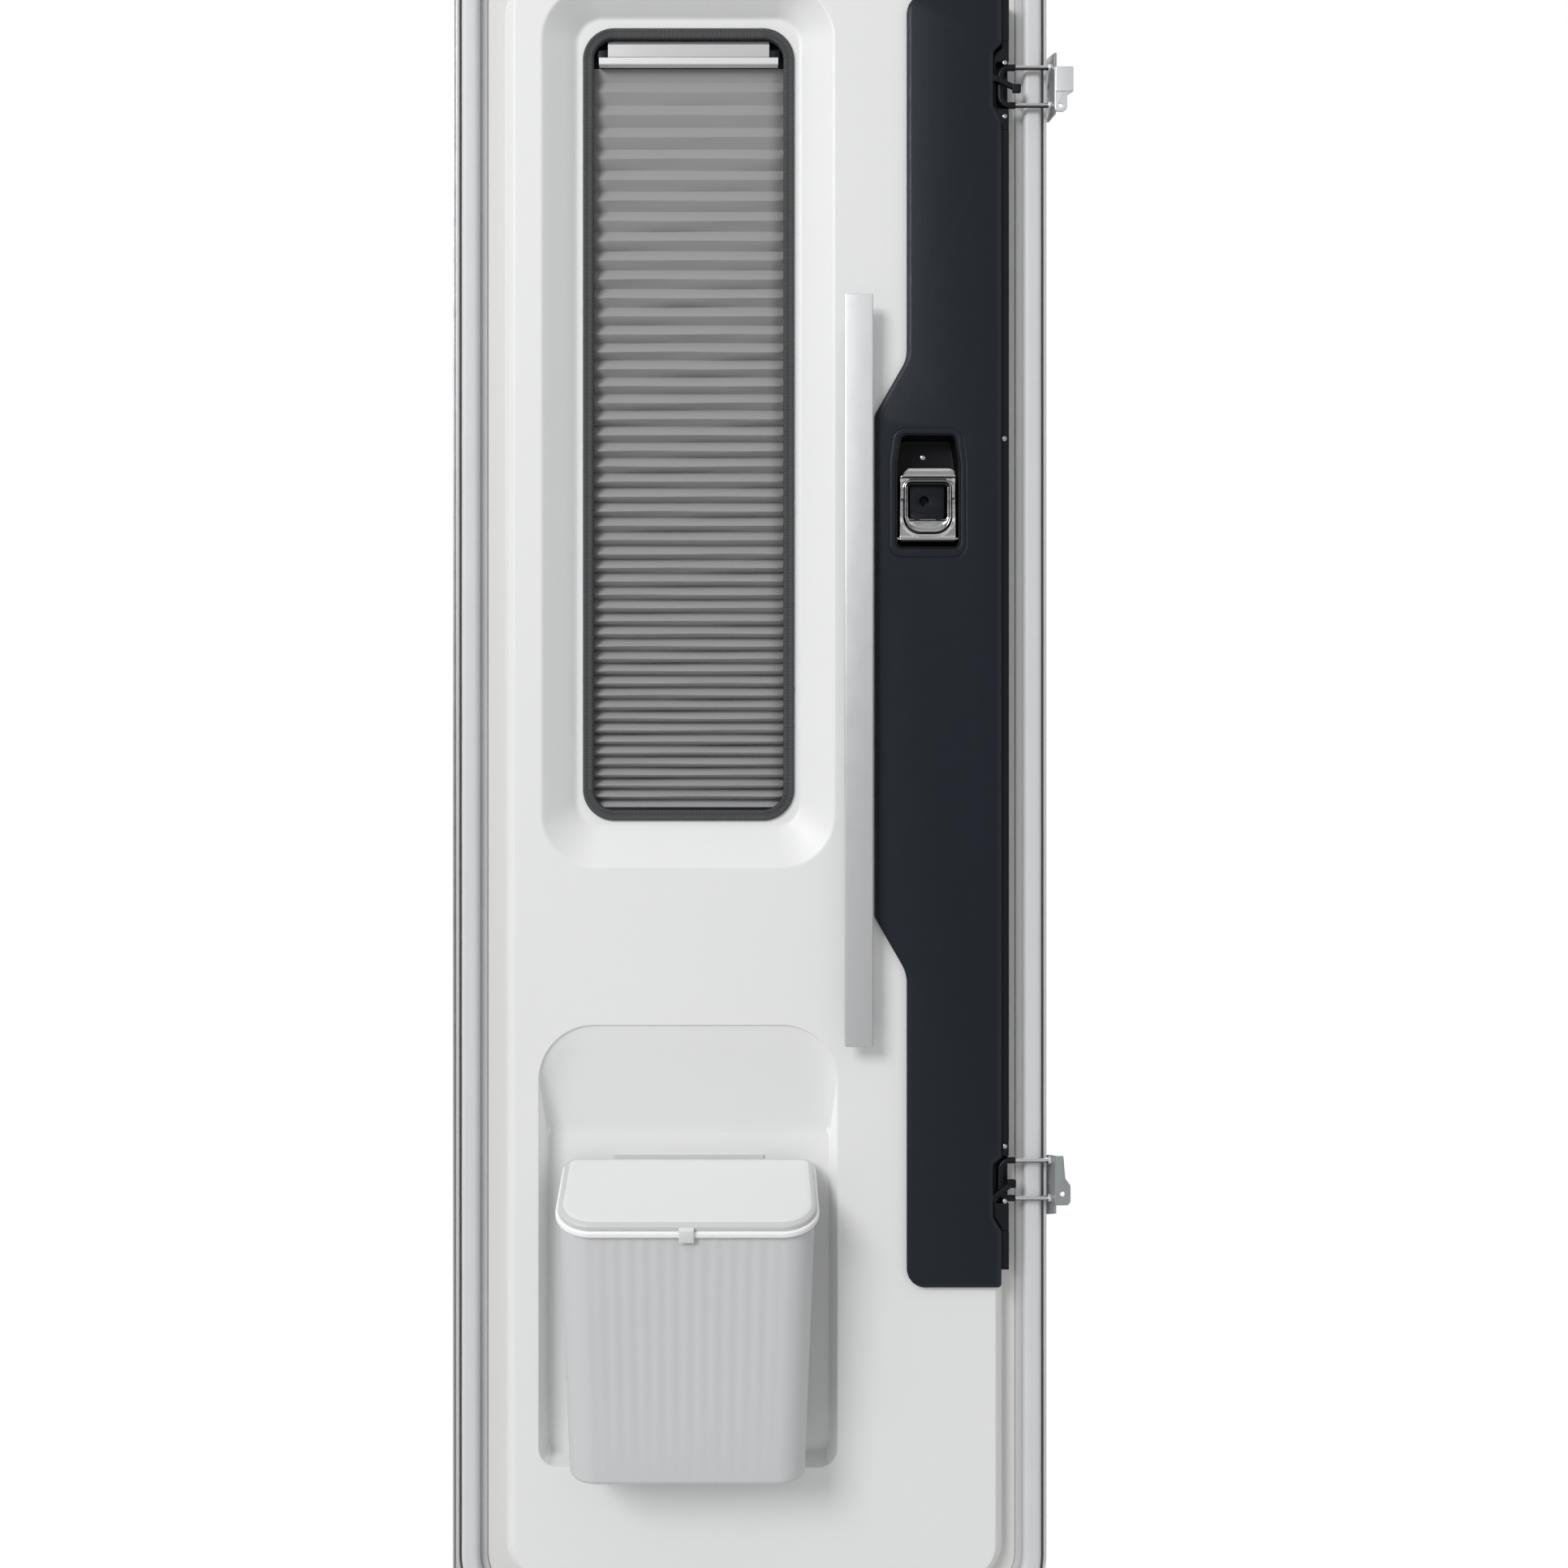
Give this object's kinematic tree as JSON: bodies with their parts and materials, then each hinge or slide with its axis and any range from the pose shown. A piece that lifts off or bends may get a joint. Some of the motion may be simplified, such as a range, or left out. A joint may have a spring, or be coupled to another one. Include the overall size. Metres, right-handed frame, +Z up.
{
  "type": "caravan entry door",
  "caption": "Caravan entry door leaf with a windowed, pleated-blind inner liner, grab bar, latch cover with pull lever, hook latches with wall keepers and a lidded waste bin.",
  "frame": {"origin": "centre of the flat face of the hinge's wall strip, at mid height and mid depth of the strip", "axes": "+Z up, +X from the hinge edge to the lock edge, -Y towards the room and +Y to the outside"},
  "size_m": [0.6737, 0.1527, 1.86],
  "materials": {
    "strip_aluminium": "anodised",
    "pin_steel": "turned",
    "bracket_steel": "zinc plated",
    "bracket_dark": "dull grey",
    "rod_chrome": "bright",
    "black_plastic": "satin",
    "skin_white": "gloss white",
    "profile_white": "satin white",
    "seal_rubber": "smooth, light grey",
    "core_foam": "foamed",
    "liner_plastic": "satin, off-white",
    "window_white": "satin",
    "gasket_rubber": "smooth",
    "tinted_glass": "tinted acrylic",
    "inner_glass": "acrylic",
    "trim_rubber": "soft, dark grey",
    "cassette_grey": "satin grey",
    "bar_plastic": "satin",
    "blind_cloth": "pleated, grey",
    "bar_grey": "fine textured grey",
    "post_grey": "satin grey",
    "cover_black": "satin, blue-black",
    "cup_black": "satin",
    "block_black": "satin",
    "hanger_grey": "satin",
    "handle_black": "gloss",
    "flap_black": "satin",
    "key_chrome": "bright",
    "lever_chrome": "satin bright",
    "claw_black": "matt black",
    "bin_silver": "fine silver grey",
    "bin_white": "gloss white",
    "lid_white": "gloss white"
  },
  "bodies": {
    "wall": {"hinge_wall_strip": "strip_aluminium", "hinge_pin": "pin_steel", "keeper_bracket_upper": "bracket_steel", "keeper_bracket_lower": "bracket_dark", "keeper_loop_upper": "rod_chrome", "keeper_loop_lower": "rod_chrome", "keeper_sleeve_upper": "black_plastic", "keeper_sleeve_lower": "black_plastic"},
    "lever": {"inner_lever": "lever_chrome"},
    "claw_upper": {"claw_upper": "claw_black"},
    "claw_lower": {"claw_lower": "claw_black"},
    "bin": {"bin_body": "bin_silver", "bin_ring": "bin_white"},
    "bin_lid": {"bin_lid": "lid_white"},
    "leaf": {"hinge_leaf_strip": "strip_aluminium", "outer_skin": "skin_white", "edge_profile": "profile_white", "perimeter_seal": "seal_rubber", "door_core": "core_foam", "inner_liner": "liner_plastic", "window_frame": "window_white", "window_gasket": "gasket_rubber", "window_outer_pane": "tinted_glass", "window_inner_pane": "inner_glass", "window_trim": "trim_rubber", "blind_cassette": "cassette_grey", "blind_pull_bar": "bar_plastic", "blind_fabric": "blind_cloth", "grab_bar": "bar_grey", "grab_bar_posts": "post_grey", "lock_cover": "cover_black", "lock_rail": "black_plastic", "latch_housing_upper": "black_plastic", "latch_housing_lower": "black_plastic", "handle_cup": "cup_black", "handle_block": "block_black", "lever_pin": "pin_steel", "bin_hanger": "hanger_grey", "outer_handle_plate": "handle_black", "outer_handle_flap": "flap_black", "key_cylinder": "key_chrome"}
  },
  "joints": [
    {"name": "door_swing", "type": "hinge", "parent": "wall", "child": "leaf", "pos_m": [0.0025, 0.0175, 0], "axis": [0, 0, 1], "range_deg": [0, 170]},
    {"name": "lever_pull", "type": "hinge", "parent": "leaf", "child": "lever", "pos_m": [0.5177, -0.0328, 0.2575], "axis": [1, 0, 0], "range_deg": [0, 35], "stiffness_Nm_per_rad": 0.4, "springref_deg": -17.19},
    {"name": "claw_upper_turn", "type": "hinge", "parent": "leaf", "child": "claw_upper", "pos_m": [0.573, -0.036, 0.7637], "axis": [0, 1, 0], "range_deg": [0, 60]},
    {"name": "claw_lower_turn", "type": "hinge", "parent": "leaf", "child": "claw_lower", "pos_m": [0.573, -0.036, -0.4685], "axis": [0, -1, 0], "range_deg": [0, 50]},
    {"name": "bin_lift", "type": "slide", "parent": "leaf", "child": "bin", "axis": [0, 0, 1], "range_m": [0, 0.02]},
    {"name": "bin_lid_tilt", "type": "hinge", "parent": "bin", "child": "bin_lid", "pos_m": [0.2595, -0.01828, -0.42113], "axis": [-1, 0, 0], "range_deg": [0, 70]}
  ],
  "couplings": [
    {"joint": "claw_upper_turn", "follows": "lever_pull", "ratio": 1.714},
    {"joint": "claw_lower_turn", "follows": "lever_pull", "ratio": 1.428}
  ]
}
